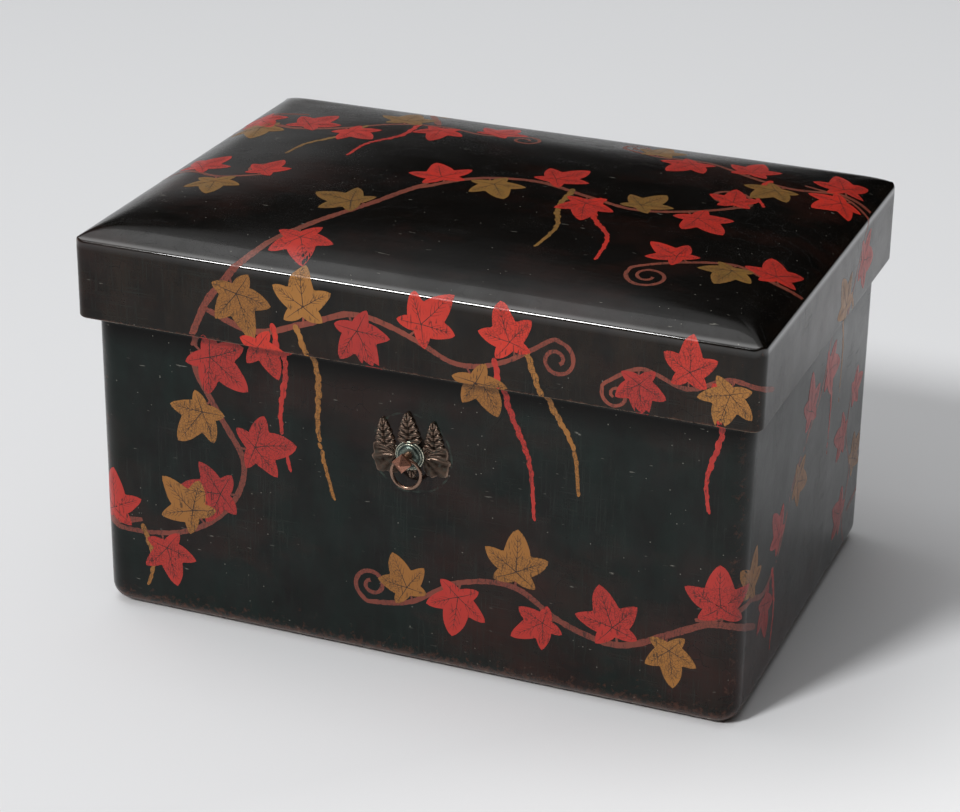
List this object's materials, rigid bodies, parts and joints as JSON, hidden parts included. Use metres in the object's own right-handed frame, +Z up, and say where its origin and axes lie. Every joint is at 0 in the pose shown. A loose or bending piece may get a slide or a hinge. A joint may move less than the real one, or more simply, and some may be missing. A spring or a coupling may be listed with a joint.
{
  "type": "document box",
  "caption": "Lacquered wooden box for papers, with a deep crowned lid that slips down over the body and a cord ring on a leaf plate front and back.",
  "frame": {"origin": "on the ground under the middle of the box", "axes": "+X along the front to the right, +Y to the back, +Z up"},
  "size_m": [0.45, 0.3344, 0.28],
  "materials": {
    "wood": "planed softwood, unfinished, hidden under the lacquer",
    "bamboo": "split bamboo pegs",
    "lacquer": "aged black lacquer over cloth, glossy, worn red-brown at the edges",
    "lining": "plain black lacquer inside, half gloss",
    "bronze": "dark brown patina, rubbed bright on the high points",
    "copper": "copper, rubbed and tarnished",
    "green_bronze": "grey-green patina",
    "vermilion_paint": "vermilion lacquer painting, worn",
    "ochre_paint": "ochre lacquer painting, worn",
    "stem_paint": "brown-red lacquer painting, worn"
  },
  "bodies": {
    "root": {"base_board": "wood", "front_wall": "wood", "back_wall": "wood", "left_wall": "wood", "right_wall": "wood", "corner_pegs": "bamboo", "base_pegs": "bamboo", "body_lacquer_skin": "lacquer", "base_lacquer_skin": "lacquer", "body_lining": "lining", "front_escutcheon": "bronze", "front_boss": "green_bronze", "front_ring_stud": "copper", "front_washer": "copper", "rear_escutcheon": "bronze", "rear_boss": "green_bronze", "rear_ring_stud": "copper", "rear_washer": "copper"},
    "lid": {"lid_top_board": "wood", "lid_front_rail": "wood", "lid_back_rail": "wood", "lid_left_rail": "wood", "lid_right_rail": "wood", "lid_corner_pegs": "bamboo", "lid_top_pegs": "bamboo", "lid_lacquer_skin": "lacquer", "lid_lining": "lining"},
    "front_ring": {"front_ring": "bronze"},
    "rear_ring": {"rear_ring": "bronze"}
  },
  "joints": [
    {"name": "lid_lift", "type": "slide", "parent": "root", "child": "lid", "axis": [0, 0, 1], "range_m": [0, 0.15]},
    {"name": "front_ring_swing", "type": "hinge", "parent": "root", "child": "front_ring", "pos_m": [0.0025, -0.1558, 0.148], "axis": [-1, 0, 0], "range_deg": [-12, 190]},
    {"name": "rear_ring_swing", "type": "hinge", "parent": "root", "child": "rear_ring", "pos_m": [0.0025, 0.1558, 0.148], "axis": [1, 0, 0], "range_deg": [-12, 190]}
  ]
}
